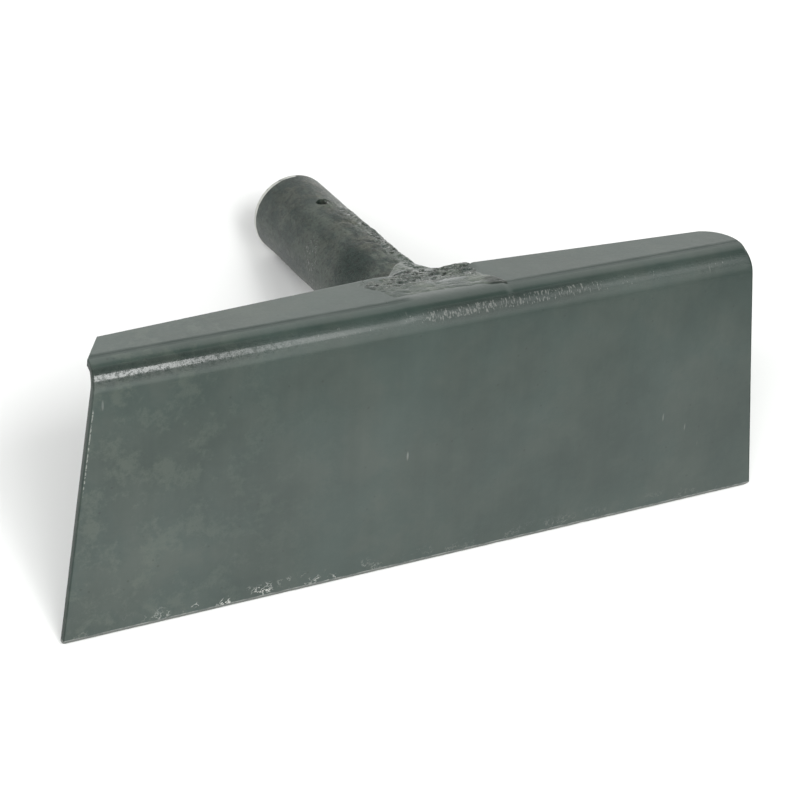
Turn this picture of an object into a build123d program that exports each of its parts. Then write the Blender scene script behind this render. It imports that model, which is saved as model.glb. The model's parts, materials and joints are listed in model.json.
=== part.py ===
from build123d import *
from math import atan2, cos, degrees, radians, sin
import os

# Head of a floor scraper, a welded steel head without its wooden handle, in millimetres.
# Each piece is drawn square to the blade: X runs along the cutting edge, Y runs back from the front face
# of the blade, Z points up, and the top face of the flange lies at Z = 0. At the end all the pieces are
# tipped back together, so that the head rests on its cutting edge and on the rim of its socket.

# Sheet and blade
sheet_thickness = 2.5
edge_width = 300.0            # along the cutting edge
top_width = 271.2             # along the bend: the ends of the blade flare out towards the edge
blade_height = 110.0          # cutting edge to the top face of the flange
bend_radius = 10.0            # outside of the bend
blade_corner_radius = 2.0
bevel_height = 2.0            # ground on the front of the cutting edge
bevel_depth = 1.5

# Flange, bent back from the top of the blade
flange_depth = 32.2           # at mid-width, from the front face of the blade
flange_fall = 0.068           # the back edge runs forward by this much per millimetre away from mid-width
flange_round = 14.0           # right-hand back corner
flange_cut_along = 10.0       # left-hand back corner, cut off straight: length along the back edge
flange_cut_forward = 16.0     # the same cut, measured forward

# Handle socket, rolled from sheet and welded along its seam
socket_diameter = 34.0
socket_wall = 2.5
socket_reach = 136.0          # front face of the blade to the open end
socket_gap = 2.5              # front end of the socket off the back of the blade, closed by the heel weld
socket_drop = 19.0            # axis of the socket below the top face of the flange
rim_break = 0.5               # outer edge of the open end
screw_hole_diameter = 5.5
screw_hole_setback = 30.0     # from the open end
seam_width = 2.4
seam_angle = 20.0             # to the right of the top of the socket
seam_rise = 0.4               # weld standing above the socket's wall

# Weld on top: the flange is notched over the socket, and the notch is filled with weld
notch_front = 12.5            # Y at which the notch begins
notch_skew = 1.5              # its front edge runs forward by this much on the right
notch_left = 25.0             # half-widths of the notch at the back edge
notch_right = 25.5
notch_left_front = 15.0       # half-width at the front on the left
notch_waist = 6.0             # the sides kink this far behind the front edge
notch_rise = 0.4              # weld standing above the flange
tail_length = 10.0            # weld run out along the socket behind the flange
tail_thickness = 1.8          # of the run-out, a third of the way along it
tail_end_thickness = 0.05

# Welds under the flange and at the blade
side_weld_reach = 22.0        # outer toe on the flange, from mid-width
side_weld_throat = 4.0        # inner end on the flange, from mid-width
side_weld_top = 15.0          # angles on the socket, from its top, between which a side weld lies
side_weld_foot = 50.0
heel_leg = 5.0                # fillet weld around the socket's front end

socket_radius = socket_diameter / 2
bore_radius = socket_radius - socket_wall
socket_front = sheet_thickness + socket_gap
inner_bend_radius = bend_radius - sheet_thickness
tail_angles = (-60, -30, 0, 30, 60)
screw_hole_y = socket_reach - screw_hole_setback
clear = 1.0                   # how far a cutting tool runs past what it cuts


def back_edge(x):
    """Y of the flange's back edge at a distance x from mid-width."""
    return flange_depth - flange_fall * abs(x)


def on_socket(angle, radius=socket_radius):
    """X and Z of a point around the socket, at an angle from its top, positive to the right."""
    return radius * sin(radians(angle)), radius * cos(radians(angle)) - socket_drop


def side_prism(points, width):
    """Prism along X, centred on mid-width, from an outline of (y, z) points."""
    return extrude(Plane.YZ * Polygon(*points, align=None), width / 2, both=True)


def plan_prism(points, bottom, top):
    """Upright prism from an outline of (x, y) points."""
    return extrude(Pos(0, 0, bottom) * Polygon(*points, align=None), top - bottom, dir=(0, 0, 1))


def cross_section(y, points):
    """Face across the socket at a given Y, from an outline of (x, z) points."""
    return Plane((0, y, 0), x_dir=(1, 0, 0), z_dir=(0, -1, 0)) * Polygon(*points, align=None)


def socket_cylinder(radius, start, end):
    """Solid cylinder on the socket's axis, from one Y to another."""
    return extrude(Plane((0, start, -socket_drop), z_dir=(0, 1, 0)) * Circle(radius), end - start)


def bend_block(inset, radius, depth=flange_depth):
    """Block behind the blade's front face and under the flange's top face, with its bend rounded."""
    block = Pos(0, inset, -inset) * Box(
        edge_width + 2 * inset, depth, blade_height, align=(Align.CENTER, Align.MIN, Align.MAX)
    )
    bend_edge = block.edges().filter_by(Axis.X).group_by(Axis.Z)[-1].sort_by(Axis.Y)[0]
    return fillet(bend_edge, radius)


def front_outline():
    """The blade's flared outline seen from the front, with its lower corners rounded."""
    outline = Polygon(
        (-edge_width / 2, -blade_height),
        (edge_width / 2, -blade_height),
        (top_width / 2, 0),
        (-top_width / 2, 0),
        align=None,
    )
    outline = fillet(outline.vertices().group_by(Axis.Y)[0], blade_corner_radius)
    return extrude(Plane.XZ * outline, 2 * flange_depth, both=True)


def gable_outline():
    """The flange's plan: its back edge runs forward from mid-width to both ends."""
    half = edge_width / 2
    points = (
        (-half, -clear),
        (half, -clear),
        (half, back_edge(half)),
        (0, flange_depth),
        (-half, back_edge(half)),
    )
    return plan_prism(points, -blade_height, clear)


def left_corner_cut():
    """Off-cut at the flange's left back corner, run on past the plate at both ends."""
    run_on = 2 * clear
    slope = flange_cut_forward / flange_cut_along
    cut_end = flange_cut_along - top_width / 2
    points = (
        (cut_end, back_edge(cut_end)),
        (-top_width / 2 - run_on, back_edge(cut_end) - flange_cut_forward - slope * run_on),
        (-top_width / 2 - run_on, flange_depth),
        (cut_end, flange_depth),
    )
    return plan_prism(points, -2 * sheet_thickness, clear)


def right_back_corner(plate):
    """The short upright edge at the right-hand back corner of the flange."""
    return plate.edges().filter_by(
        lambda edge: edge.length < 1.2 * sheet_thickness
        and edge.center().Y > bend_radius
        and edge.center().X > top_width / 2 - clear
    )


def notch_outline():
    """Plan of the notch in the flange, (x, y) points from the back left round to the back right."""
    waist = notch_front + notch_waist
    return (
        (-notch_left, back_edge(notch_left)),
        (-notch_left_front - 2 * clear, waist),
        (-notch_left_front, notch_front),
        (notch_right, notch_front - notch_skew),
        (notch_right + 2 * clear, notch_front + clear),
        (notch_right - clear, waist),
        (notch_right, back_edge(notch_right)),
    )


def blade_plate():
    """One piece of sheet: the flared blade, the bend and the gable-backed flange."""
    plate = bend_block(0, bend_radius) - bend_block(sheet_thickness, inner_bend_radius)
    plate = plate & front_outline() & gable_outline()
    plate = fillet(right_back_corner(plate), flange_round)
    bevel = ((0, bevel_height - blade_height), (-clear, -blade_height - clear), (bevel_depth, -blade_height))
    plate -= side_prism(bevel, edge_width + 2 * clear)
    plate -= left_corner_cut()
    notch = (*notch_outline(), (0, flange_depth + clear))
    return plate - plan_prism(notch, -2 * sheet_thickness, clear)


def seam_strip(radius, start, end):
    """Strip along the socket's seam, from the socket's axis out to a given radius."""
    strip = Box(seam_width, end - start, radius, align=(Align.CENTER, Align.MIN, Align.MIN))
    return Pos(0, start, -socket_drop) * Rot(0, seam_angle, 0) * strip


def coped(piece, plate):
    """A piece of the socket, cut to lie against the back of the blade and the inside of its bend."""
    return (piece & bend_block(0, bend_radius, 2 * socket_reach)) - plate


def handle_socket(plate):
    """Tube that takes the wooden handle, with an open seam and one hole for the fixing screw."""
    tube = socket_cylinder(socket_radius, socket_front, socket_reach)
    tube = chamfer(tube.edges().group_by(Axis.Y)[-1], rim_break)
    tube -= socket_cylinder(bore_radius, 0, socket_reach + clear)
    tube -= seam_strip(socket_diameter, 0, socket_reach + clear)
    tube -= Pos(0, screw_hole_y, 0) * Cylinder(screw_hole_diameter / 2, socket_drop)
    return coped(tube, plate)


def seam_weld(plate):
    """Weld bead that closes the socket's seam, with a ridge on it from the top weld to the screw hole."""
    end = socket_reach - rim_break
    flush = seam_strip(socket_diameter, socket_front, end) & socket_cylinder(socket_radius, 0, end)
    ridge_start = back_edge(notch_left) + tail_length
    ridge = seam_strip(socket_diameter, ridge_start, screw_hole_y)
    ridge &= socket_cylinder(socket_radius + seam_rise, ridge_start, screw_hole_y)
    return coped(flush + ridge - socket_cylinder(bore_radius, 0, end), plate)


def side_weld(side):
    """Fillet weld between the socket's flank and the underside of the flange, left (-1) or right (1)."""
    root = socket_radius - clear
    points = (
        on_socket(side_weld_top, root),
        (side_weld_throat, -sheet_thickness),
        (side_weld_reach, -sheet_thickness),
        on_socket(side_weld_foot),
        on_socket(side_weld_foot, root),
    )
    section = cross_section(bend_radius, [(side * x, z) for x, z in points])
    return extrude(section, back_edge(notch_left) - bend_radius, dir=(0, 1, 0))


def tail_section(y, outer):
    """Section across the weld's tail at a given Y: outer (x, z) points, and roots in the socket's wall."""
    roots = [on_socket(-angle, socket_radius - clear) for angle in tail_angles]
    return cross_section(y, [*outer, *roots])


def around_socket(thickness):
    """(x, z) points over the top of the socket, at a thickness above its surface, from left to right."""
    return [on_socket(angle, socket_radius + thickness) for angle in tail_angles]


def top_weld():
    """Weld that fills the flange's notch over the socket and runs out along the socket behind it."""
    fill = plan_prism(notch_outline(), -sheet_thickness, notch_rise)
    at_flange = (
        (-notch_left, -sheet_thickness),
        (-notch_left, 0),
        (0, notch_rise),
        (notch_right, 0),
        (notch_right, -sheet_thickness),
    )
    start = back_edge(notch_left) - clear / 2
    sections = (
        tail_section(start, at_flange),
        tail_section(start + tail_length / 3, around_socket(tail_thickness)),
        tail_section(start + tail_length, around_socket(tail_end_thickness)),
    )
    return fill + loft(sections, ruled=True)


def heel_weld():
    """Weld around the lower side of the socket's front end, on the back of the blade and in the gap."""
    ring = Plane((0, sheet_thickness, -socket_drop), z_dir=(0, 1, 0)) * Cone(
        socket_radius + heel_leg, socket_radius, heel_leg, align=(Align.CENTER, Align.CENTER, Align.MIN)
    )
    ring -= socket_cylinder(socket_radius, socket_front, socket_reach)
    ring -= socket_cylinder(socket_radius - socket_wall / 2, 0, socket_front)
    below = Pos(0, 0, -bend_radius - clear) * Box(
        edge_width, 2 * flange_depth, blade_height, align=(Align.CENTER, Align.CENTER, Align.MAX)
    )
    return ring & below


def assembly():
    """Every piece by name, drawn square to the blade, each weld cut back from the pieces it joins."""
    plate = blade_plate()
    pieces = {"blade_plate": plate, "handle_socket": handle_socket(plate), "seam_weld": seam_weld(plate)}
    welds = {
        "left_side_weld": side_weld(-1),
        "right_side_weld": side_weld(1),
        "top_weld": top_weld(),
        "heel_weld": heel_weld(),
    }
    for name, weld in welds.items():
        for piece in pieces.values():
            weld -= piece
        pieces[name] = weld
    return pieces


def set_down(pieces):
    """Tip the pieces back onto the cutting edge and the socket's rim, centred over the origin."""
    rise = blade_height - socket_drop - socket_radius
    tilt = degrees(atan2(rise, socket_reach - rim_break - sheet_thickness))
    tipped = {name: Rot(-tilt, 0, 0) * piece for name, piece in pieces.items()}
    box = Compound(list(tipped.values())).bounding_box()
    shift = Pos(0, -box.center().Y, -box.min.Z)
    return {name: shift * piece for name, piece in tipped.items()}


os.makedirs("parts", exist_ok=True)
for name, piece in set_down(assembly()).items():
    export_step(piece, f"parts/{name}.step")
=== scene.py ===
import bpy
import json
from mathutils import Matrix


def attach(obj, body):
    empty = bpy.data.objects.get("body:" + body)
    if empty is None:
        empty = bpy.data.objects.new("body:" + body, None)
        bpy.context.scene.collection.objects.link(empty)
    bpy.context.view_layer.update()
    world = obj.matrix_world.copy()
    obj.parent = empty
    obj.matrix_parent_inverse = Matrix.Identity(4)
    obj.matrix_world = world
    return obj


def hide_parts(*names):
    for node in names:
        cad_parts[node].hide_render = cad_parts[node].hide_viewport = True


bl_info = {
    "name": "Floor Scraper Head",
    "version": (1, 0, 0),
    "blender": (4, 5, 0),
    "location": "3D View > Sidebar > Floor Scraper",
    "description": "Builds a welded floor scraper head in lacquered steel, and a studio to show it in",
    "category": "Object",
}

import json
import math

import bmesh
import bpy
from bpy.props import FloatProperty, FloatVectorProperty, PointerProperty
from mathutils import Matrix, Vector, noise

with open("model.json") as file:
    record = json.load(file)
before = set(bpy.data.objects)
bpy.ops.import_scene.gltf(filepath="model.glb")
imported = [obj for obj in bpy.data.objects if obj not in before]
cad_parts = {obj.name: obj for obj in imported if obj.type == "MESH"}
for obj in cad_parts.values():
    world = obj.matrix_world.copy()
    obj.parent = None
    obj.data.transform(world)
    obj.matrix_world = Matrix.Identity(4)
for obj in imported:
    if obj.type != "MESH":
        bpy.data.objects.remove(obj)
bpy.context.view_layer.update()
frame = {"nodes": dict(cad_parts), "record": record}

# The head is modelled square to its blade, in metres: X along the cutting edge, Y back from the blade's
# front face, Z up, with the flange's top face at Z = 0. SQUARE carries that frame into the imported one.
MM = 0.001


def mount(name):
    """One of the record's mounts."""
    return next(entry for entry in frame["record"]["mounts"] if entry["name"] == name)


def square_frame():
    """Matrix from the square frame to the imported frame, from the socket's bore and the plate's extent."""
    across = Vector((1, 0, 0))
    back = Vector(mount("socket_bore")["axis"]).normalized()
    turn = Matrix((across, back, across.cross(back))).transposed()
    corners = [turn.transposed() @ vertex.co for vertex in frame["nodes"]["blade_plate"].data.vertices]
    corner = Vector((0, min(c.y for c in corners), max(c.z for c in corners)))
    return Matrix.Translation(turn @ corner) @ turn.to_4x4()


SQUARE = square_frame()
TO_SQUARE = SQUARE.inverted()


def square_box(node):
    """Lowest and highest corner of a CAD node in the square frame."""
    corners = [TO_SQUARE @ vertex.co for vertex in frame["nodes"][node].data.vertices]
    low = Vector([min(c[i] for c in corners) for i in range(3)])
    high = Vector([max(c[i] for c in corners) for i in range(3)])
    return low, high


PLATE_LOW, PLATE_HIGH = square_box("blade_plate")
SOCKET_LOW, SOCKET_HIGH = square_box("handle_socket")
EDGE_HALF = PLATE_HIGH.x
BLADE_HEIGHT = -PLATE_LOW.z
SOCKET_RADIUS = SOCKET_HIGH.x
SOCKET_END = SOCKET_HIGH.y
SOCKET_DROP = -(TO_SQUARE @ Vector(mount("socket_bore")["pos_m"])).z
BORE_RADIUS = mount("socket_bore")["dims"]["r_mm"] * MM
HOLE_RADIUS = mount("screw_hole")["dims"]["r_mm"] * MM
HOLE_Y = (TO_SQUARE @ Vector(mount("screw_hole")["pos_m"])).y


class ScraperSizes(bpy.types.PropertyGroup):
    """Sizes of the head that its packed boxes don't give."""

    sheet: FloatProperty(
        name="Sheet thickness",
        description="Thickness of the sheet that the blade and its flange are bent from",
        default=2.5 * MM,
        unit="LENGTH",
    )
    bend: FloatProperty(
        name="Bend radius", description="Outside radius of the bend", default=10 * MM, unit="LENGTH"
    )
    flare: FloatProperty(
        name="Flare",
        description="How much further out each end of the blade is at the cutting edge than at the bend",
        default=14.4 * MM,
        unit="LENGTH",
    )
    flange_depth: FloatProperty(
        name="Flange depth",
        description="Front face of the blade to the flange's back edge, at mid-width",
        default=32.2 * MM,
        unit="LENGTH",
    )
    flange_fall: FloatProperty(
        name="Flange fall",
        description="How far the back edge runs forward for each unit away from mid-width",
        default=0.068,
    )
    corner_round: FloatProperty(
        name="Right corner radius",
        description="Radius of the flange's right back corner",
        default=12.5 * MM,
        unit="LENGTH",
    )
    grind_height: FloatProperty(
        name="Ground bevel height",
        description="Height of the bevel ground on the front of the cutting edge",
        default=2 * MM,
        unit="LENGTH",
    )
    grind_depth: FloatProperty(
        name="Ground bevel depth",
        description="Depth of the bevel ground on the front of the cutting edge",
        default=1.5 * MM,
        unit="LENGTH",
    )
    edge_break: FloatProperty(
        name="Edge break",
        description="Rounding of the sheet's cut edges",
        default=0.3 * MM,
        unit="LENGTH",
    )
    seam_angle: FloatProperty(
        name="Seam angle",
        description="Place of the socket's seam, from its top towards the right",
        default=math.radians(20),
        subtype="ANGLE",
    )
    weld_cell: FloatProperty(
        name="Weld cell",
        description="Size of the cells that weld metal is meshed with",
        default=0.5 * MM,
        unit="LENGTH",
    )


class ScraperFinish(bpy.types.PropertyGroup):
    """Colours and gloss of the lacquered steel."""

    lacquer: FloatVectorProperty(
        name="Lacquer",
        description="Colour of the dark lacquer over mill scale",
        default=(0.014, 0.028, 0.023),
        subtype="COLOR",
        size=3,
    )
    teal: FloatVectorProperty(
        name="Thin lacquer, blue",
        description="Colour where the lacquer is thin over blue scale",
        default=(0.036, 0.056, 0.049),
        subtype="COLOR",
        size=3,
    )
    worn: FloatVectorProperty(
        name="Thin lacquer",
        description="Colour where the lacquer is thin and the scale shows grey",
        default=(0.05, 0.066, 0.056),
        subtype="COLOR",
        size=3,
    )
    thin: FloatVectorProperty(
        name="Socket lacquer",
        description="Colour of thin lacquer on the socket and the welds, and of blotches on the sheet",
        default=(0.085, 0.102, 0.08),
        subtype="COLOR",
        size=3,
    )
    scale: FloatVectorProperty(
        name="Scale",
        description="Brownish colour of the mill scale on top of the socket",
        default=(0.092, 0.094, 0.07),
        subtype="COLOR",
        size=3,
    )
    steel: FloatVectorProperty(
        name="Bare steel",
        description="Colour of ground or chipped steel",
        default=(0.6, 0.6, 0.57),
        subtype="COLOR",
        size=3,
    )
    pit: FloatVectorProperty(
        name="Pits",
        description="Colour of the pits in weld metal and scale",
        default=(0.008, 0.012, 0.01),
        subtype="COLOR",
        size=3,
    )
    gloss_roughness: FloatProperty(
        name="Lacquer roughness",
        description="Roughness of the lacquer's clear surface",
        default=0.13,
        min=0,
        max=1,
        subtype="FACTOR",
    )


class ScraperStudio(bpy.types.PropertyGroup):
    """The floor, the lights and the camera."""

    floor_colour: FloatVectorProperty(
        name="Floor",
        description="Colour of the floor",
        default=(0.86, 0.86, 0.86),
        subtype="COLOR",
        size=3,
    )
    key_power: FloatProperty(
        name="Key light",
        description="Power of the large light up on the left",
        default=19.0,
        unit="POWER",
    )
    bend_power: FloatProperty(
        name="Bend light",
        description="Power of the first of the small lights that shine in the bend; the others follow it",
        default=2.5,
        unit="POWER",
    )
    lens: FloatProperty(
        name="Lens", description="Focal length on a 36 mm sensor", default=101.0, unit="CAMERA"
    )
    distance: FloatProperty(
        name="Camera distance", description="Camera to the point aimed at", default=0.8282, unit="LENGTH"
    )
    azimuth: FloatProperty(
        name="Azimuth",
        description="Camera's turn to the left of the blade's front",
        default=math.radians(28.57),
        subtype="ANGLE",
    )
    elevation: FloatProperty(
        name="Elevation",
        description="Camera's height over the plane square to the blade",
        default=math.radians(28.36),
        subtype="ANGLE",
    )
    roll: FloatProperty(
        name="Roll",
        description="Camera's roll about its own axis",
        default=math.radians(3.2),
        subtype="ANGLE",
    )


# Meshes


def smoothstep(low, high, value):
    """0 below low, 1 above high, and a smooth rise between them."""
    share = min(max((value - low) / (high - low), 0), 1)
    return share * share * (3 - 2 * share)


def mix(a, b, share):
    """Value between a and b."""
    return a + (b - a) * share


def everything(bm):
    """All of a bmesh, for operators that take geometry."""
    return bm.verts[:] + bm.edges[:] + bm.faces[:]


def cut(bm, point, normal):
    """Cuts off what lies past a plane."""
    bmesh.ops.bisect_plane(
        bm,
        geom=everything(bm),
        plane_co=point,
        plane_no=normal,
        clear_outer=True,
        dist=0.01 * MM,
    )


def break_edges(bm, width):
    """Rounds the edges at which the surface turns by more than 50 degrees."""
    limit = math.radians(50)
    sharp = [e for e in bm.edges if len(e.link_faces) == 2 and e.calc_face_angle(0) > limit]
    bmesh.ops.bevel(
        bm,
        geom=sharp,
        offset=width,
        offset_type="OFFSET",
        segments=2,
        profile=0.5,
        affect="EDGES",
        clamp_overlap=True,
        material=-1,
    )


def rough(point, scale, octaves=3):
    """Signed noise at a point, with features of about 1 / scale metres."""
    return noise.fractal(point * scale, 0.9, 2.0, octaves)


def new_object(name, bm):
    """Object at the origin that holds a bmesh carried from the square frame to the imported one."""
    bm.transform(SQUARE)
    mesh = bpy.data.meshes.new(name)
    bm.to_mesh(mesh)
    bm.free()
    piece = bpy.data.objects.new(name, mesh)
    bpy.context.scene.collection.objects.link(piece)
    return piece


def finish_piece(piece, node, slot, recipe, angle=35):
    """Shades a piece, gives it its slot's material and puts it in its CAD node's place."""
    piece.data.shade_smooth()
    piece.data.set_sharp_from_angle(angle=math.radians(angle))
    piece.data.materials.clear()
    piece.data.materials.append(finished(slot, recipe))
    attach(piece, "root")
    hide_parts(node)


def apply_modifiers(piece):
    """Makes a piece's modifiers part of its mesh."""
    depsgraph = bpy.context.evaluated_depsgraph_get()
    mesh = bpy.data.meshes.new_from_object(piece.evaluated_get(depsgraph))
    old = piece.data
    piece.modifiers.clear()
    piece.data = mesh
    bpy.data.meshes.remove(old)
    mesh.name = piece.name


def around_axis(angle, radius, y):
    """Point around the socket's axis, at an angle from its top towards the right."""
    return Vector((radius * math.sin(angle), y, radius * math.cos(angle) - SOCKET_DROP))


def back_edge(sizes, x):
    """Y of the flange's back edge."""
    return sizes.flange_depth - sizes.flange_fall * abs(x)


def blade_run(sizes, share):
    """Distance up the sheet's outer face for a share of the grid's rows, which are closest at the bend."""
    on_blade = 0.38
    on_bend = 0.3
    on_flange = 0.32
    straight = BLADE_HEIGHT - sizes.bend
    arc_end = straight + sizes.bend * math.pi / 2
    past_bend = arc_end + 1.5 * MM
    if share < on_blade:
        return straight * share / on_blade
    if share < on_blade + on_bend:
        return mix(straight, past_bend, (share - on_blade) / on_bend)
    back = arc_end + sizes.flange_depth - sizes.bend
    return mix(past_bend, back, (share - on_blade - on_bend) / on_flange)


def weld_spread(x):
    """Share of the weld metal that has spread over the top of the bend; it ends in a step on the right."""
    return smoothstep(-20 * MM, -8 * MM, x) * smoothstep(29.6 * MM, 28.2 * MM, x)


def flange_level(x, past):
    """Height of the sheet's top face: 0 where weld metal has spread over it, and a little lower elsewhere."""
    return 0.34 * MM * (weld_spread(x) * smoothstep(6 * MM, 0, past) - 1)


def blade_point(sizes, across, share):
    """Point of the sheet's outer face: across from -1 to 1, and up from 0 at the edge to 1 at the back."""
    straight = BLADE_HEIGHT - sizes.bend
    arc = sizes.bend * math.pi / 2
    run = blade_run(sizes, share)
    x = across * (EDGE_HALF + 0.14 * MM - sizes.flare * min(run / BLADE_HEIGHT, 1))
    turn = min(max((run - straight) / arc, 0), 1)
    past = run - straight - arc
    swell = (flange_level(x, past) - 0.02 * MM) * smoothstep(0.1, 0.75, turn)
    # a faint crease lies where the press brake gripped the flange
    crease_width = 0.55 * MM
    crease = -0.07 * MM * math.exp(-((past / crease_width) ** 2)) * (1 - weld_spread(x))
    reach = sizes.bend + swell + crease
    if run <= straight:
        return Vector((x, 0, run - BLADE_HEIGHT))
    if run <= straight + arc:
        angle = turn * math.pi / 2
        return Vector((x, sizes.bend - reach * math.cos(angle), reach * math.sin(angle) - sizes.bend))
    depth = past / (sizes.flange_depth - sizes.bend)
    return Vector((x, mix(sizes.bend, back_edge(sizes, x), depth), swell + crease))


def cut_flange_corners(bm, sizes):
    """Cuts the flange's left back corner off straight and rounds the right one, along the blade's flare."""
    lean = sizes.flare / BLADE_HEIGHT
    half = EDGE_HALF - sizes.flare
    off_back = 9 * MM
    off_side = 15 * MM
    corner_x = half - off_back
    left = Vector((-corner_x, back_edge(sizes, corner_x), 0))
    cut(bm, left, Vector((-off_side, off_back, off_side * lean)).normalized())
    radius = sizes.corner_round
    centre_x = half - radius
    centre_y = back_edge(sizes, centre_x) - radius
    facets = 16
    for step in range(1, facets):
        angle = math.radians(step * 90 / facets)
        outward = Vector((math.cos(angle), math.sin(angle), 0))
        tilted = Vector((outward.x, outward.y, lean * outward.x)).normalized()
        cut(bm, Vector((centre_x, centre_y, 0)) + outward * radius, tilted)


def round_blade_corners(bm, radius):
    """Rounds the blade's two lower corners, whose sides lean outward."""
    lean = math.radians(7.5)
    facets = 5
    for side in (-1, 1):
        centre = Vector((side * (EDGE_HALF - radius * 0.9), 0, radius - BLADE_HEIGHT))
        for step in range(1, facets):
            angle = math.radians(step * 90 / facets) - lean / 2
            outward = Vector((side * math.cos(angle), 0, -math.sin(angle)))
            cut(bm, centre + outward * radius, outward)


def to_melted_corner(x):
    """Share of the way from the socket to the right end of the weld, along the flange's back edge."""
    return smoothstep(12 * MM, 24 * MM, x)


def wear_sheet(co, sizes, grind_line):
    """Grinds the cutting edge at a point of the sheet, bows and nicks it, and melts it under the weld."""
    below = grind_line - co.z
    if below > 0 and co.y < sizes.sheet / 2:
        co.y += sizes.grind_depth * below / sizes.grind_height
    # the sheet isn't quite flat, and the cutting edge is a little worn
    height = (co.z + BLADE_HEIGHT) / BLADE_HEIGHT
    bow = (4 * height * (1 - height)) ** 2
    co.y += bow * 0.3 * MM * rough(Vector((co.x, 0, co.z)), 9, 2)
    if below > 0:
        nick = max(rough(Vector((co.x, 0, 5)), 110, 3) - 0.15, 0)
        co.z += nick * 0.25 * MM * below / sizes.grind_height
    # the flange's back edge is melted down a little under the weld
    melted = smoothstep(-16 * MM, 4 * MM, co.x) * smoothstep(26.8 * MM, 25.4 * MM, co.x)
    melted *= mix(1.7, 0.9, to_melted_corner(co.x))
    co.z -= melted * MM * smoothstep(18 * MM, 29 * MM, co.y)


def build_blade(sizes):
    """The bent sheet: blade, bend and flange, with its ground edge and the marks of press and weld."""
    bm = bmesh.new()
    bmesh.ops.create_grid(bm, x_segments=236, y_segments=150, size=0.5)
    for vertex in bm.verts:
        vertex.co = blade_point(sizes, 2 * vertex.co.x, vertex.co.y + 0.5)
    grind_line = sizes.grind_height - BLADE_HEIGHT
    bmesh.ops.bisect_plane(bm, geom=everything(bm), plane_co=(0, 0, grind_line), plane_no=(0, 0, 1))
    cut_flange_corners(bm, sizes)
    round_blade_corners(bm, 2 * MM)
    bmesh.ops.recalc_face_normals(bm, faces=bm.faces[:])
    lowest = min(bm.faces, key=lambda face: face.calc_center_median().z)
    if lowest.normal.y > 0:
        bmesh.ops.reverse_faces(bm, faces=bm.faces[:])
    bmesh.ops.solidify(bm, geom=bm.faces[:], thickness=sizes.sheet)
    for vertex in bm.verts:
        wear_sheet(vertex.co, sizes, grind_line)
    bmesh.ops.recalc_face_normals(bm, faces=bm.faces[:])
    break_edges(bm, sizes.edge_break)
    return new_object("blade", bm)


def build_socket(sizes):
    """The round tube, with a worn rim, a fixing hole with its burr, and a front end coped to the bend."""
    bm = bmesh.new()
    start = SOCKET_LOW.y
    round_over = 1.5 * MM
    inner_break = 0.4 * MM
    outer_end = SOCKET_END - round_over - 0.3 * MM
    inner_end = SOCKET_END - inner_break
    outer = [(SOCKET_RADIUS, mix(start, outer_end, step / 170)) for step in range(171)]
    inner = [(BORE_RADIUS, mix(inner_end, start, step / 60)) for step in range(61)]
    quarter = [math.radians(15 * step) for step in range(7)]
    rim = [
        (SOCKET_RADIUS - round_over * (1 - math.cos(a)), SOCKET_END - round_over * (1 - math.sin(a)))
        for a in quarter
    ]
    rim.append((BORE_RADIUS + inner_break, SOCKET_END))
    profile = outer + rim + inner
    verts = [bm.verts.new(around_axis(0, radius, y)) for radius, y in profile]
    edges = [bm.edges.new((a, b)) for a, b in zip(verts, verts[1:] + verts[:1])]
    bmesh.ops.spin(
        bm,
        geom=verts + edges,
        cent=(0, 0, -SOCKET_DROP),
        axis=(0, 1, 0),
        angle=2 * math.pi,
        steps=180,
        use_merge=True,
    )
    bmesh.ops.recalc_face_normals(bm, faces=bm.faces[:])
    for vertex in bm.verts:
        shape_socket(vertex.co)
    piece = new_object("socket", bm)
    cutters = [drill_for_hole(), cope_block(sizes)]
    for cutter in cutters:
        removal = piece.modifiers.new(cutter.name, "BOOLEAN")
        removal.object = cutter
        removal.operation = "DIFFERENCE"
        removal.solver = "EXACT"
    apply_modifiers(piece)
    for cutter in cutters:
        bpy.data.objects.remove(cutter)
    return piece


def shape_socket(co):
    """Dents and pits a point of the socket's outer wall, and raises the burr round its hole."""
    axis = Vector((0, co.y, -SOCKET_DROP))
    outward = co - axis
    radius = outward.length
    outward.normalize()
    if radius < (SOCKET_RADIUS + BORE_RADIUS) / 2:
        return
    # dents fade out towards the open end, and pits and lumps lie along the seam
    away = smoothstep(SOCKET_END, SOCKET_END - 12 * MM, co.y)
    dent = 0.22 * MM * rough(co, 60, 2) - 0.14 * MM
    to_seam = math.atan2(outward.x, outward.z) - math.radians(16)
    by_seam = math.exp(-((to_seam / 0.5) ** 2)) * smoothstep(112 * MM, 95 * MM, co.y)
    pitted = MM * (0.06 + 0.5 * by_seam) * max(rough(co, 380, 4) - 0.05, 0)
    lumps = 0.22 * MM * by_seam * rough(Vector((co.x, 0.4 * co.y, co.z)), 260, 3)
    hole_x, hole_y = co.x, co.y - HOLE_Y
    distance = math.hypot(hole_x, hole_y)
    burr = 0.0
    if outward.z > 0.5:
        # the burr stands highest on the hole's right side
        right_side = 0.5 + 0.5 * math.cos(math.atan2(hole_y, hole_x) + 0.5)
        burr = smoothstep(2.3 * HOLE_RADIUS, 1.15 * HOLE_RADIUS, distance)
        burr *= 0.4 * MM * (0.1 + right_side) * (1 + 0.9 * rough(co, 500, 2))
    co += outward * (away * dent + lumps - pitted + burr)


def drill_for_hole():
    """Cutter for the fixing hole."""
    bm = bmesh.new()
    bmesh.ops.create_cone(
        bm,
        cap_ends=True,
        segments=40,
        radius1=HOLE_RADIUS,
        radius2=HOLE_RADIUS,
        depth=SOCKET_RADIUS,
        matrix=Matrix.Translation((0, HOLE_Y, -BORE_RADIUS / 3)),
    )
    for vertex in bm.verts:
        vertex.co.x += 0.25 * MM * rough(vertex.co, 300, 2)
    return new_object("drill", bm)


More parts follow.
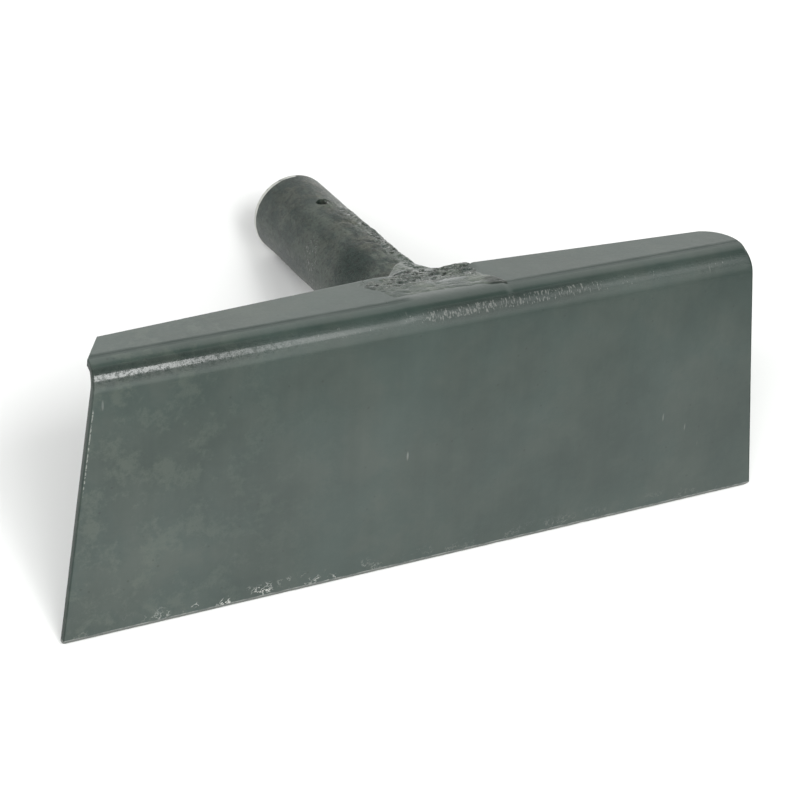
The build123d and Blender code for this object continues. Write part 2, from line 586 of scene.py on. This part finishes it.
def cope_block(sizes):
    """Cutter for the socket's front end: everything in front of the blade's back face and of the bend."""
    bm = bmesh.new()
    inside = sizes.bend - sizes.sheet
    reach = 3 * SOCKET_RADIUS
    outline = [(-reach, -reach), (sizes.sheet, -reach), (sizes.sheet, -sizes.bend)]
    facets = 12
    for step in range(1, facets + 1):
        angle = math.radians(step * 90 / facets)
        outline.append((sizes.bend - inside * math.cos(angle), inside * math.sin(angle) - sizes.bend))
    outline += [(sizes.bend, reach), (-reach, reach)]
    face = bm.faces.new([bm.verts.new((-reach, y, z)) for y, z in outline])
    swept = bmesh.ops.extrude_face_region(bm, geom=[face])
    moved = [item for item in swept["geom"] if isinstance(item, bmesh.types.BMVert)]
    bmesh.ops.translate(bm, vec=(2 * reach, 0, 0), verts=moved)
    bmesh.ops.recalc_face_normals(bm, faces=bm.faces[:])
    return new_object("cope", bm)


def skin(columns, rows, place, depth, front):
    """Closed shell: a grid laid out by place(u, v), u and v from 0 to 1, thickened away from its front."""
    bm = bmesh.new()
    bmesh.ops.create_grid(bm, x_segments=columns, y_segments=rows, size=0.5)
    for vertex in bm.verts:
        vertex.co = place(vertex.co.x + 0.5, vertex.co.y + 0.5)
    bm.normal_update()
    if sum((face.normal for face in bm.faces), Vector()).dot(Vector(front)) < 0:
        bmesh.ops.reverse_faces(bm, faces=bm.faces[:])
    bm.normal_update()
    bmesh.ops.solidify(bm, geom=bm.faces[:], thickness=depth)
    bmesh.ops.recalc_face_normals(bm, faces=bm.faces[:])
    return bm


def weld_inset(x, y):
    """How far a point of the flange is inside the fused outline of the top weld; negative outside."""
    left = 15.4 * MM + 0.27 * max(y - 12.7 * MM, 0) + 0.56 * max(y - 18.7 * MM, 0)
    right = 26.2 * MM + 0.45 * max(22 * MM - y, 0)
    front = 12.7 * MM - 0.11 * max(x - 3.7 * MM, 0) - 0.1 * max(x - 23 * MM, 0)
    wander = 0.5 * MM * rough(Vector((x, y, 0.3)), 240, 3)
    return min(x + left, right - x, y - front) + wander


def weld_height(sizes, x, y):
    """Height of the top weld's surface over the flange's top face."""
    inside = weld_inset(x, y)
    tip = smoothstep(20 * MM, 25 * MM, x) * smoothstep(20 * MM, 16 * MM, y)
    soft = mix(3.2 * MM, 1.1 * MM, tip)
    proud = mix(-0.8 * MM, mix(0.2, 0.45, tip) * MM, smoothstep(-soft, 0.8 * soft, inside))
    proud += flange_level(x, y - sizes.bend)
    right_back = smoothstep(-2 * MM, 8 * MM, x) * smoothstep(15 * MM, 29 * MM, y)
    proud -= MM * right_back * mix(1.25, 0.5, to_melted_corner(x))
    # behind the flange the metal runs down to the socket, in a wide hollow flare on the right
    to_right = smoothstep(-8 * MM, 10 * MM, x)
    reach = mix(7 * MM, 18 * MM, to_right)
    start = back_edge(sizes, x) + mix(-2.2 * MM, 1.6 * MM, to_right)
    share = min(max((y - start) / reach, 0), 1)
    run_down = (1 - share) ** mix(1.7, 1.25, to_right)
    flank_limit = -11 * MM
    wall = math.sqrt(max(SOCKET_RADIUS**2 - x * x, 0)) - SOCKET_DROP
    wall = max(wall, flank_limit)
    height = mix(wall - 0.5 * MM * smoothstep(0.8, 1, share), proud, run_down)
    lumps = rough(Vector((0.6 * x, y, 0)), 190, 4)
    pits = max(rough(Vector((0.45 * x, y, 2)), 560, 4) - 0.06, 0)
    rough_zone = 0.25 + smoothstep(19 * MM, 25 * MM, y) * (0.5 + 0.7 * smoothstep(4 * MM, 14 * MM, x))
    behind = smoothstep(0.02, 0.25, share)
    # the steep side of the flare, past the socket's flank, has run smooth
    steep = 1 - 0.9 * smoothstep(9 * MM, 13.5 * MM, abs(x)) * smoothstep(0, 0.12, share)
    height += lumps * MM * (0.02 + 0.34 * rough_zone) * steep
    pitted = pits * MM * (1.3 * rough_zone + 0.4 * behind) * steep
    height -= pitted * (1 - smoothstep(0.5, 0.95, share))
    # a fine crack follows the socket's wall at the back
    crack_y = 31.2 * MM - 0.25 * x + 0.5 * MM * rough(Vector((x, 1, 0)), 400, 2)
    along_crack = smoothstep(-7 * MM, -3 * MM, x) * smoothstep(4 * MM, 0.5 * MM, x)
    height -= 0.4 * MM * along_crack * smoothstep(0.6 * MM, 0.1 * MM, abs(y - crack_y))
    return height


def build_top_weld(sizes):
    """The fused area over the socket: nearly flush on the flange, and run down onto the socket behind it."""
    cell = sizes.weld_cell * 0.8
    left = -26.5 * MM
    right = 30.5 * MM
    front = 8.8 * MM
    back = 51 * MM
    on_socket = 14.2 * MM
    depth = 1.6 * MM

    def place(u, v):
        # behind the flange the shell of metal narrows to the socket's width
        y = mix(front, back, v)
        left_end = mix(left, -on_socket, smoothstep(27 * MM, 35 * MM, y))
        right_end = mix(right, on_socket, smoothstep(24 * MM, 47 * MM, y))
        x = mix(left_end, right_end, u)
        return Vector((x, y, weld_height(sizes, x, y)))

    columns = round((right - left) / cell)
    rows = round((back - front) / cell)
    return new_object("top_weld_metal", skin(columns, rows, place, depth, (0, 0, 1)))


def build_seam(sizes):
    """The weld along the socket's seam: a rough ridge between the top weld and the fixing hole."""
    start = SOCKET_LOW.y + 32 * MM
    end = HOLE_Y + 3 * MM
    half_width = math.radians(21)
    middle = sizes.seam_angle + math.radians(6)
    depth = 0.9 * MM

    def place(u, v):
        y = mix(start, end, u)
        side = 2 * v - 1
        crest = (1 - side * side) ** 1.6
        ridge = smoothstep(34 * MM, 46 * MM, y) * smoothstep(HOLE_Y + 1 * MM, HOLE_Y - 9 * MM, y)
        lumps = rough(Vector((side * 6 * MM, 0.6 * y, 0)), 260, 4)
        pits = max(rough(Vector((side * 6 * MM, y, 4)), 640, 4), 0)
        thick = mix(0.7, 1.3, smoothstep(75 * MM, 50 * MM, y))
        height = crest * MM * ridge * (thick + 0.5 * lumps - 1.1 * pits) - 0.3 * MM
        wander = math.radians(2) * rough(Vector((0, y, 7)), 60, 2)
        point = around_axis(middle + wander + side * half_width, SOCKET_RADIUS, y)
        shape_socket(point)
        outward = point - Vector((0, y, -SOCKET_DROP))
        return point + outward.normalized() * height

    return new_object("seam_ridge", skin(300, 48, place, depth, (0, 0, 1)))


def bead_bulge(along, across):
    """Height of a hand-laid weld bead: a low crown with curved ripples across it."""
    crown = 1 - (2 * across - 1) ** 2
    pitch = 1.7 * MM
    phase = along / pitch + 1.1 * crown
    ripple = 0.5 + 0.5 * math.sin(2 * math.pi * phase)
    lumps = rough(Vector((along, across * 4 * MM, 0)), 210, 3)
    return crown * MM * (0.35 + 0.22 * ripple + 0.35 * lumps)


def build_side_weld(side):
    """Fillet bead between the socket's flank and the underside of the flange, left (-1) or right (1)."""
    low, high = square_box("left_side_weld" if side < 0 else "right_side_weld")
    toe_x = max(abs(low.x), abs(high.x)) - 1 * MM
    under = high.z + 0.3 * MM

    def place(u, v):
        along = u if side > 0 else 1 - u
        y = mix(low.y + 0.5 * MM, high.y, along)
        foot = around_axis(math.radians(48), SOCKET_RADIUS - 0.3 * MM, y)
        start = Vector((toe_x, y, under))
        point = start.lerp(foot, v)
        outward = Vector((start.z - foot.z, 0, foot.x - start.x)).normalized()
        ends = math.sin(math.pi * min(max(along, 0.02), 0.98)) ** 0.4
        point += outward * (bead_bulge(y + side * 9 * MM, v) * ends - 0.5 * MM * (1 - ends))
        point.x *= side
        return point

    name = "left_side_bead" if side < 0 else "right_side_bead"
    return new_object(name, skin(70, 28, place, 2.2 * MM, (side, 0, -1)))


def build_heel_weld():
    """Fillet bead around the lower side of the socket's front end, on the back of the blade."""
    low, high = square_box("heel_weld")
    toe_radius = high.x
    first = math.acos((high.z + SOCKET_DROP) / SOCKET_RADIUS) + math.radians(4)
    last = 2 * math.pi - first

    def place(u, v):
        angle = mix(last, first, u)
        start = around_axis(angle, toe_radius - 0.6 * MM, low.y - 0.2 * MM)
        foot = around_axis(angle, SOCKET_RADIUS - 0.3 * MM, high.y)
        point = start.lerp(foot, v)
        outward = (around_axis(angle, 1, 1) - around_axis(angle, 0, 0)).normalized()
        return point + outward * bead_bulge(angle * toe_radius, v)

    return new_object("heel_bead", skin(150, 24, place, 1.8 * MM, (0, 1, -1)))


# Materials


class Level:
    """A number in a material, held as a socket, that sums and products can be written with."""

    def __init__(self, recipe, socket):
        self.recipe = recipe
        self.socket = socket

    def maths(self, operation, first, second):
        """Level from one Math node."""
        return self.recipe.node("ShaderNodeMath", {"operation": operation}, {0: first, 1: second})

    def __add__(self, other):
        return self.maths("ADD", self, other)

    def __radd__(self, other):
        return self.maths("ADD", other, self)

    def __sub__(self, other):
        return self.maths("SUBTRACT", self, other)

    def __rsub__(self, other):
        return self.maths("SUBTRACT", other, self)

    def __mul__(self, other):
        return self.maths("MULTIPLY", self, other)

    def __rmul__(self, other):
        return self.maths("MULTIPLY", other, self)

    def __neg__(self):
        return self.maths("MULTIPLY", self, -1.0)

    def above(self, low, high):
        """0 below low, 1 above high, and a smooth rise between them."""
        settings = {"interpolation_type": "SMOOTHSTEP", "clamp": True}
        limits = {"Value": self, "From Min": low, "From Max": high, "To Min": 0.0, "To Max": 1.0}
        return self.recipe.node("ShaderNodeMapRange", settings, limits)

    def unsigned(self):
        """This number without its sign."""
        return self.maths("ABSOLUTE", self, 0.0)

    def highest(self, other):
        """The larger of this and another number."""
        return self.maths("MAXIMUM", self, other)


class Recipe:
    """Shader nodes under construction."""

    def __init__(self, tree):
        self.tree = tree
        self.tree.nodes.clear()

    def node(self, kind, settings, sockets, output=0):
        """Level from one node: its settings first, then the values or links of its sockets."""
        made = self.tree.nodes.new(kind)
        for name, value in settings.items():
            setattr(made, name, value)
        for key, value in sockets.items():
            if isinstance(value, Level):
                self.tree.links.new(value.socket, made.inputs[key])
            else:
                made.inputs[key].default_value = value
        return Level(self, made.outputs[output])

    def part_of(self, vector, axis):
        """One coordinate of a vector."""
        return self.node("ShaderNodeSeparateXYZ", {}, {"Vector": vector}, axis)


class Finish(Recipe):
    """A material under construction, with coordinates that are square to the blade."""

    def __init__(self, name):
        self.material = bpy.data.materials.new(name)
        self.material.use_nodes = True
        super().__init__(self.material.node_tree)
        here = self.node("ShaderNodeTexCoord", {}, {}, "Object")
        turn = {"Vector": here, "Location": TO_SQUARE.translation, "Rotation": TO_SQUARE.to_euler()}
        self.place = self.node("ShaderNodeMapping", {"vector_type": "POINT"}, turn, "Vector")
        self.x = self.part_of(self.place, "X")
        self.y = self.part_of(self.place, "Y")
        self.z = self.part_of(self.place, "Z")

    def stretched(self, x, y, z):
        """The square coordinates, each scaled."""
        return self.node(
            "ShaderNodeVectorMath", {"operation": "MULTIPLY"}, {0: self.place, 1: (x, y, z)}, "Vector"
        )

    def cloud(self, scale, detail=4.0, roughness=0.55, vector=None):
        """Noise with features of about 1 / scale metres."""
        sockets = {
            "Vector": vector or self.place,
            "Scale": scale,
            "Detail": detail,
            "Roughness": roughness,
        }
        return self.node("ShaderNodeTexNoise", {"noise_dimensions": "3D"}, sockets, "Fac")

    def spots(self, scale, vector=None):
        """Distance to the nearest of scattered points."""
        sockets = {"Vector": vector or self.place, "Scale": scale}
        return self.node("ShaderNodeTexVoronoi", {"feature": "F1"}, sockets, "Distance")

    def tint(self, share, first, second):
        """Colour between two, by a share."""
        settings = {"data_type": "RGBA", "blend_type": "MIX", "clamp_factor": True}
        if not isinstance(first, Level):
            first = (*first, 1.0)
        if not isinstance(second, Level):
            second = (*second, 1.0)
        return self.node("ShaderNodeMix", settings, {0: share, 6: first, 7: second}, 2)

    def relief(self, height, distance, strength=1.0, under=None):
        """Normal from a height."""
        sockets = {"Height": height, "Distance": distance, "Strength": strength}
        if under:
            sockets["Normal"] = under
        return self.node("ShaderNodeBump", {}, sockets, "Normal")

    def shade(self, colour, roughness, metal, coat, normal, coat_roughness, shine=0.5):
        """Ends the material in one Principled surface."""
        surface = self.node(
            "ShaderNodeBsdfPrincipled",
            {},
            {
                "Base Color": colour,
                "Roughness": roughness,
                "Metallic": metal,
                "Specular IOR Level": shine,
                "Coat Weight": coat,
                "Coat Roughness": coat_roughness,
                "Coat IOR": 1.5,
                "Normal": normal,
            },
            "BSDF",
        )
        output = self.tree.nodes.new("ShaderNodeOutputMaterial")
        self.tree.links.new(surface.socket, output.inputs["Surface"])
        return self.material


def sheet_finish(finish):
    """Glossy lacquer over the sheet's mill scale, scuffed at the bend and chipped at the edges."""
    make = Finish("lacquered_sheet_finish")
    across = make.stretched(1.0, 0.05, 0.05)
    clouds = make.cloud(17, 6, 0.6)
    streaks = make.cloud(240, 4, 0.6, across)
    fine = make.cloud(1300, 3)
    to_left = (-make.x).above(0.02, 0.14)
    tone = 0.88 * clouds + 0.12 * streaks + 0.06 * to_left
    worn = make.tint(make.cloud(38, 5, 0.6).above(0.42, 0.58), finish.worn, finish.teal)
    colour = make.tint(tone.above(0.25, 0.85), finish.lacquer, worn)
    blotch = make.cloud(75, 6, 0.75).above(0.48, 0.62) * (0.05 + 0.3 * to_left)
    colour = make.tint(blotch, colour, finish.thin)
    specks = 1 - make.spots(150).above(0.03, 0.1)
    colour = make.tint(specks * 0.4, colour, finish.pit)
    # painted shade: the crease in front of the flange is darkened towards the lacquer colour, and its coat
    # thinned
    crease = make.y - 10.2 * MM
    crease_shade = 1 - (crease * crease).above(0.1 * MM * MM, 3.6 * MM * MM)
    under_weld = make.x.above(-13 * MM, -7 * MM) * (1 - make.x.above(28 * MM, 31 * MM))
    crease_shade = crease_shade * (1 - under_weld)
    crease_shade = crease_shade * make.z.above(-4 * MM, -1 * MM) * (0.5 + 0.9 * make.cloud(60, 3))
    colour = make.tint(crease_shade, colour, finish.lacquer)
    # cutting edge: a ground strip with a bright line over it, and chips that curl up from it
    edge = -make.z - (BLADE_HEIGHT - 2.1 * MM)
    at_edge = edge.above(0.0, 0.25 * MM)
    ground = at_edge * (0.05 + 0.2 * make.cloud(300, 4))
    line = edge.above(-0.15 * MM, 0.1 * MM) * (1 - edge.above(0.2 * MM, 0.6 * MM))
    line = line * make.cloud(120, 4, 0.7).above(0.38, 0.6) * 0.6
    chip_place = make.x.above(-0.12, -0.1) * (1 - make.x.above(-0.045, -0.02))
    curl = make.cloud(330, 3, 0.6) - 0.5
    curl = 1 - (curl * curl).above(0.0001, 0.0009)
    near = edge.above(-7 * MM, -1.0 * MM) * (1 - at_edge) * make.cloud(110, 3).above(0.5, 0.62)
    chips = curl * near * (0.1 + 0.9 * chip_place)
    # scuffs at the foot of the bend, mostly at mid-width and at the left end
    bend_foot = make.z.above(-8.5 * MM, -5.5 * MM) * (1 - make.z.above(-3.0 * MM, -1.8 * MM))
    middle = make.x.above(-14 * MM, 2 * MM) * (1 - make.x.above(45 * MM, 72 * MM))
    left_end = 1 - make.x.above(-0.11, -0.05)
    scuff_noise = make.cloud(1900, 3, 0.6, make.stretched(1.0, 0.3, 0.3))
    scuffs = bend_foot * (0.76 + 0.2 * middle) * scuff_noise * (0.8 + 0.4 * make.cloud(90, 2))
    scuffs = scuffs.above(0.5, 0.58)
    ticks = make.spots(120, make.stretched(1.0, 0.22, 0.22)).above(0.03, 0.07)
    scratches = (1 - ticks) * make.cloud(30, 2).above(0.5, 0.6)
    # the blade's leaning ends: chips along the upper part of the left one, and cut faces on both that are
    # duller, and darkened with painted shade
    slope = make.x.unsigned() + 0.131 * make.z - (EDGE_HALF - 14.6 * MM)
    upper = make.z.above(-62 * MM, -45 * MM) * (1 - make.z.above(-16 * MM, -10 * MM))
    upper = upper * (1 - make.x.above(-0.05, 0.05))
    rim = slope.above(-1.3 * MM, -0.6 * MM) * (1 - slope.above(-0.35 * MM, -0.2 * MM))
    side_chips = (rim * make.cloud(700, 4) * upper).above(0.44, 0.54)
    cut_face = slope.above(-0.3 * MM, -0.1 * MM).highest(at_edge)
    # painted shade: the cut faces and the ground strip at the cutting edge are darkened towards the pit
    # colour
    colour = make.tint(cut_face * 0.3, colour, finish.pit)
    wear = chips.highest(scuffs * 0.3).highest(scratches * 0.2).highest(side_chips * 0.35).highest(line)
    bare = ground.highest(wear * 0.8)
    colour = make.tint(bare, colour, finish.steel)
    rough_share = 0.22 + 0.2 * tone + 0.12 * fine + 0.2 * bare + 0.4 * cut_face
    coat = (1 - 0.8 * bare) * (1 - 0.7 * crease_shade) * (1 - 0.75 * cut_face)
    # at the left end the lacquer is crazed, which breaks up its shine
    crazed = make.cloud(640, 4, 0.75).above(0.49, 0.55) * bend_foot * (1 - make.x.above(-0.09, -0.03))
    coat = coat * (1 - 0.6 * crazed)
    coat = coat * (1 - 0.35 * (-make.z).above(0.045, 0.1))
    crackle = make.cloud(800, 4, 0.75) * bend_foot * (0.25 + 0.75 * left_end + 0.5 * middle)
    broken = make.relief(crackle + 0.04 * make.cloud(150, 5), 0.0026, 0.9)
    height = clouds * 3.0 + streaks * 0.1 + fine * 0.25
    normal = make.relief(height, 0.00015, 0.7, broken)
    return make.shade(colour, rough_share, bare * 0.4, coat, normal, finish.gloss_roughness, 0.35)


def socket_finish(finish):
    """The darker lacquer of the rolled socket, rough along its seam and worn to steel at its open rim."""
    make = Finish("lacquered_socket_finish")
    along = make.stretched(1.0, 0.3, 1.0)
    clouds = make.cloud(45, 6, 0.7)
    streaks = make.cloud(220, 5, 0.7, along)
    grain = make.cloud(620, 5, 0.75)
    tone = 0.55 * clouds + 0.45 * streaks
    colour = make.tint(tone.above(0.45, 0.56), finish.lacquer, finish.thin)
    top = (make.z + SOCKET_DROP).above(2 * MM, 14 * MM)
    scale = make.cloud(110, 6, 0.8).above(0.48, 0.58) * (0.15 + 0.85 * top)
    colour = make.tint(scale * 0.6, colour, finish.scale)
    # painted shade: the socket's left flank is darkened towards the lacquer colour
    shaded_left_flank = (-make.x).above(0.0, 9 * MM) * (0.3 + 0.7 * clouds)
    colour = make.tint(shaded_left_flank * 0.8, colour, finish.lacquer)
    # painted shade: a dark patch on the left, behind the weld, darkens the lacquer and thins its coat
    aside = make.x + 10.5 * MM
    ahead = make.y - 56 * MM
    shade_pool = aside * aside + 0.3 * ahead * ahead + 60 * MM * MM * clouds
    shade_pool = 1 - shade_pool.above(35 * MM * MM, 90 * MM * MM)
    colour = make.tint(shade_pool * 0.9, colour, finish.lacquer)
    rust = grain.above(0.53, 0.57)
    colour = make.tint(rust * 0.6, colour, finish.pit)
    to_left = (-make.x).above(-9 * MM, 2 * MM)
    rim = make.y.above(SOCKET_END - 3.4 * MM, SOCKET_END - 2.6 * MM) * to_left
    rim = (rim * (0.45 + 0.7 * make.cloud(260, 4, 0.7))).above(0.6, 0.8)
    end_face = make.y.above(SOCKET_END - 0.9 * MM, SOCKET_END - 0.4 * MM)
    by_seam = make.x.above(0.0, 5 * MM) * (1 - make.x.above(10 * MM, 14 * MM)) * top
    # bright specks, drawn as bare steel: scratches scattered over the socket, and painted glints along the
    # seam
    marks = make.cloud(800, 4, 0.8).above(0.57, 0.61) * make.cloud(45, 2).above(0.6, 0.68).highest(by_seam)
    bare = rim.highest(end_face * 0.6).highest(marks * 0.3)
    colour = make.tint(bare, colour, finish.steel)
    rough_share = 0.34 + 0.3 * tone + 0.15 * grain
    coat = (0.35 - 0.3 * shade_pool) * (1 - 0.8 * bare)
    height = 1.0 * clouds + 0.6 * streaks + 0.9 * grain + 0.5 * scale - 0.3 * rust
    normal = make.relief(height, 0.0013, 0.8)
    return make.shade(colour, rough_share, bare * 0.3, coat, normal, 0.22, 0.3)


def weld_finish(finish):
    """Lacquer over rough weld metal, dark in its pits."""
    make = Finish("lacquered_weld_finish")
    clouds = make.cloud(90, 5)
    grain = make.cloud(700, 5, 0.75, make.stretched(0.6, 1, 1))
    tone = 0.6 * clouds + 0.4 * grain
    colour = make.tint(tone.above(0.4, 0.6), finish.lacquer, finish.thin)
    rough_zone = make.y.above(18 * MM, 24 * MM) * (1 - make.y.above(33 * MM, 37 * MM))
    back = make.y.above(44 * MM, 60 * MM)
    low_down = 1 - make.z.above(-9 * MM, -6 * MM)
    rough_zone = rough_zone.highest(back).highest(low_down) * 0.85 + 0.15
    pits = grain.above(0.525, 0.565) * rough_zone
    colour = make.tint(pits * 0.9, colour, finish.pit)
    # painted glints: bright specks of bare steel in the rough zones
    bright = make.cloud(900, 4, 0.75).above(0.56, 0.62) * rough_zone
    colour = make.tint(bright * 0.3, colour, finish.steel)
    # painted shade: the weld's right-hand tip, a slope turned away from the light, is darkened towards the
    # pit colour and its coat thinned
    tip = make.x.above(22 * MM, 25 * MM) * (1 - make.y.above(15 * MM, 18 * MM))
    colour = make.tint(tip * 0.8, colour, finish.pit)
    rough_share = 0.28 + 0.3 * grain
    coat = (0.8 - 0.5 * pits) * (1 - 0.6 * tip)
    height = 0.7 * clouds + (0.8 * grain - 0.6 * pits) * rough_zone
    normal = make.relief(height, 0.0012, 0.8)
    return make.shade(colour, rough_share, bright * 0.3, coat, normal, 0.18, 0.4)


def floor_finish(colour):
    """Plain matt floor with the faintest unevenness."""
    make = Finish("studio_floor")
    grain = make.cloud(6, 3)
    darker = tuple(0.985 * part for part in colour)
    tone = make.tint(grain, colour, darker)
    normal = make.relief(grain, 0.0001, 0.1)
    return make.shade(tone, 0.9, 0.0, 0.0, normal, 0.5)


def finished(slot, recipe):
    """The material of a slot, made once."""
    known = bpy.data.materials.get(slot + "_finish")
    return known or recipe(bpy.context.scene.scraper_finish)


# Stage


def point_at(thing, position, target):
    """Places a thing, turned towards a point with its width along X."""
    back = (position - target).normalized()
    up = back.cross(Vector((1, 0, 0))).normalized()
    turn = Matrix((up.cross(back), up, back)).transposed().to_4x4()
    thing.matrix_world = Matrix.Translation(position) @ turn


def studio_floor(reach, material):
    """Flat floor at Z = 0 that runs as far each way as its reach."""
    bm = bmesh.new()
    bmesh.ops.create_grid(bm, x_segments=2, y_segments=2, size=reach)
    mesh = bpy.data.meshes.new("studio_floor")
    bm.to_mesh(mesh)
    bm.free()
    mesh.materials.append(material)
    floor = bpy.data.objects.new("studio_floor", mesh)
    bpy.context.scene.collection.objects.link(floor)
    return floor


def soft_light(name, position, target, size, power):
    """Rectangular area light, of a width and a height."""
    light = bpy.data.lights.new(name, "AREA")
    light.shape = "RECTANGLE"
    light.size = size[0]
    light.size_y = size[1]
    light.energy = power
    thing = bpy.data.objects.new(name, light)
    bpy.context.scene.collection.objects.link(thing)
    point_at(thing, Vector(position), Vector(target))


def studio_sky():
    """Pale surroundings: brighter behind the head and high up ahead, dim overhead and on the left."""
    world = bpy.data.worlds.new("studio_sky")
    bpy.context.scene.world = world
    world.use_nodes = True
    sky = Recipe(world.node_tree)
    where = sky.node("ShaderNodeTexCoord", {}, {}, "Generated")
    across = sky.part_of(where, "X")
    back = sky.part_of(where, "Y")
    up = sky.part_of(where, "Z")
    behind = back.above(-0.5, 0.5)
    overhead = (0.94 * up + 0.34 * back + 0.45 * across * across).above(0.9, 0.98)
    ahead = (0.66 * up - 0.75 * back).above(0.7, 0.9)
    leftward = (-across).above(0.0, 0.5)
    fall = 1.2 - 0.34 * across.above(0.2, 0.55)
    level = 0.43 * fall + 0.53 * behind + 1.1 * ahead * fall
    level = level * (1 - 0.97 * overhead) * (1 - 0.55 * leftward)
    tint = (0.975, 1, 0.97, 1)
    glow = sky.node("ShaderNodeBackground", {}, {"Color": tint, "Strength": level}, "Background")
    output = sky.tree.nodes.new("ShaderNodeOutputWorld")
    sky.tree.links.new(glow.socket, output.inputs["Surface"])


def place_camera(studio):
    """Camera at its angle to the blade, rolled about its own axis."""
    # the camera looks at a point of the blade's front face
    aim = Vector((-17.44 * MM, 0, -35.68 * MM))
    flat = Vector((math.sin(studio.azimuth), math.cos(studio.azimuth), 0))
    forward = flat * math.cos(studio.elevation) - Vector((0, 0, math.sin(studio.elevation)))
    right = forward.cross(Vector((0, 0, 1))).normalized()
    upright = right.cross(forward)
    up = upright * math.cos(studio.roll) - right * math.sin(studio.roll)
    side = forward.cross(up)
    turn = Matrix((side, up, -forward)).transposed().to_4x4()
    data = bpy.data.cameras.new("camera")
    data.lens = studio.lens
    data.sensor_width = 36
    data.sensor_fit = "HORIZONTAL"
    data.clip_start = 0.05
    data.dof.use_dof = False
    camera = bpy.data.objects.new("camera", data)
    bpy.context.scene.collection.objects.link(camera)
    camera.matrix_world = SQUARE @ Matrix.Translation(aim - forward * studio.distance) @ turn
    bpy.context.scene.camera = camera


# Operators


class SCRAPER_OT_blade(bpy.types.Operator):
    """Build the bent blade and flange"""

    bl_idname = "scraper.blade"
    bl_label = "Blade"

    def execute(self, context):
        piece = build_blade(context.scene.scraper_sizes)
        finish_piece(piece, "blade_plate", "lacquered_sheet", sheet_finish)
        return {"FINISHED"}


class SCRAPER_OT_socket(bpy.types.Operator):
    """Build the handle socket"""

    bl_idname = "scraper.socket"
    bl_label = "Handle Socket"

    def execute(self, context):
        piece = build_socket(context.scene.scraper_sizes)
        finish_piece(piece, "handle_socket", "lacquered_socket", socket_finish)
        return {"FINISHED"}


class SCRAPER_OT_top_weld(bpy.types.Operator):
    """Build the fused weld on top of the flange"""

    bl_idname = "scraper.top_weld"
    bl_label = "Top Weld"

    def execute(self, context):
        piece = build_top_weld(context.scene.scraper_sizes)
        finish_piece(piece, "top_weld", "lacquered_weld", weld_finish, 80)
        return {"FINISHED"}


class SCRAPER_OT_seam(bpy.types.Operator):
    """Build the weld along the socket's seam"""

    bl_idname = "scraper.seam"
    bl_label = "Seam Weld"

    def execute(self, context):
        piece = build_seam(context.scene.scraper_sizes)
        finish_piece(piece, "seam_weld", "lacquered_weld", weld_finish, 80)
        return {"FINISHED"}


class SCRAPER_OT_under_welds(bpy.types.Operator):
    """Build the fillet welds under the flange and behind the blade"""

    bl_idname = "scraper.under_welds"
    bl_label = "Fillet Welds"

    def execute(self, context):
        beads = {
            "left_side_weld": build_side_weld(-1),
            "right_side_weld": build_side_weld(1),
            "heel_weld": build_heel_weld(),
        }
        for node, piece in beads.items():
            finish_piece(piece, node, "lacquered_weld", weld_finish, 80)
        return {"FINISHED"}


class SCRAPER_OT_studio(bpy.types.Operator):
    """Build the floor, the lights and the camera"""

    bl_idname = "scraper.studio"
    bl_label = "Studio"

    def execute(self, context):
        studio = context.scene.scraper_studio
        floor = studio_floor(4, floor_finish(studio.floor_colour))
        studio_sky()
        bend = (0, -0.04, 0.08)
        soft_light("key_light", (-1.1, -0.2, 1.4), bend, (1.2, 1.0), studio.key_power)
        # three lights whose reflections join into the bright line along the bend
        soft_light("bend_light", (0.1, -0.34, 1.0), bend, (0.56, 0.42), studio.bend_power)
        soft_light("end_light", (0.12, -0.32, 1.0), bend, (0.24, 0.38), 0.8 * studio.bend_power)
        soft_light("bend_glow", (0.56, -0.3, 0.98), bend, (0.36, 0.3), 0.12 * studio.bend_power)
        place_camera(studio)
        context.scene.view_settings.view_transform = "Standard"
        return {"FINISHED"}


class SCRAPER_PT_panel(bpy.types.Panel):
    """Sizes, finish and studio, and a button for each piece"""

    bl_idname = "SCRAPER_PT_panel"
    bl_label = "Floor Scraper"
    bl_space_type = "VIEW_3D"
    bl_region_type = "UI"
    bl_category = "Floor Scraper"

    def draw(self, context):
        scene = context.scene
        for group in (scene.scraper_sizes, scene.scraper_finish, scene.scraper_studio):
            box = self.layout.box()
            for name in group.__annotations__:
                box.prop(group, name)
        for operator in OPERATORS:
            self.layout.operator(operator.bl_idname)


OPERATORS = (
    SCRAPER_OT_blade,
    SCRAPER_OT_socket,
    SCRAPER_OT_top_weld,
    SCRAPER_OT_seam,
    SCRAPER_OT_under_welds,
    SCRAPER_OT_studio,
)
CLASSES = (ScraperSizes, ScraperFinish, ScraperStudio, *OPERATORS, SCRAPER_PT_panel)


def register():
    """Registers the classes and hangs their settings on the scene."""
    for cls in CLASSES:
        bpy.utils.register_class(cls)
    bpy.types.Scene.scraper_sizes = PointerProperty(type=ScraperSizes)
    bpy.types.Scene.scraper_finish = PointerProperty(type=ScraperFinish)
    bpy.types.Scene.scraper_studio = PointerProperty(type=ScraperStudio)


def unregister():
    """Takes the settings and the classes away again."""
    del bpy.types.Scene.scraper_studio
    del bpy.types.Scene.scraper_finish
    del bpy.types.Scene.scraper_sizes
    for cls in reversed(CLASSES):
        bpy.utils.unregister_class(cls)


def main():
    """Builds every piece and the studio."""
    register()
    bpy.ops.scraper.blade()
    bpy.ops.scraper.socket()
    bpy.ops.scraper.top_weld()
    bpy.ops.scraper.seam()
    bpy.ops.scraper.under_welds()
    bpy.ops.scraper.studio()


if __name__ == "__main__":
    main()
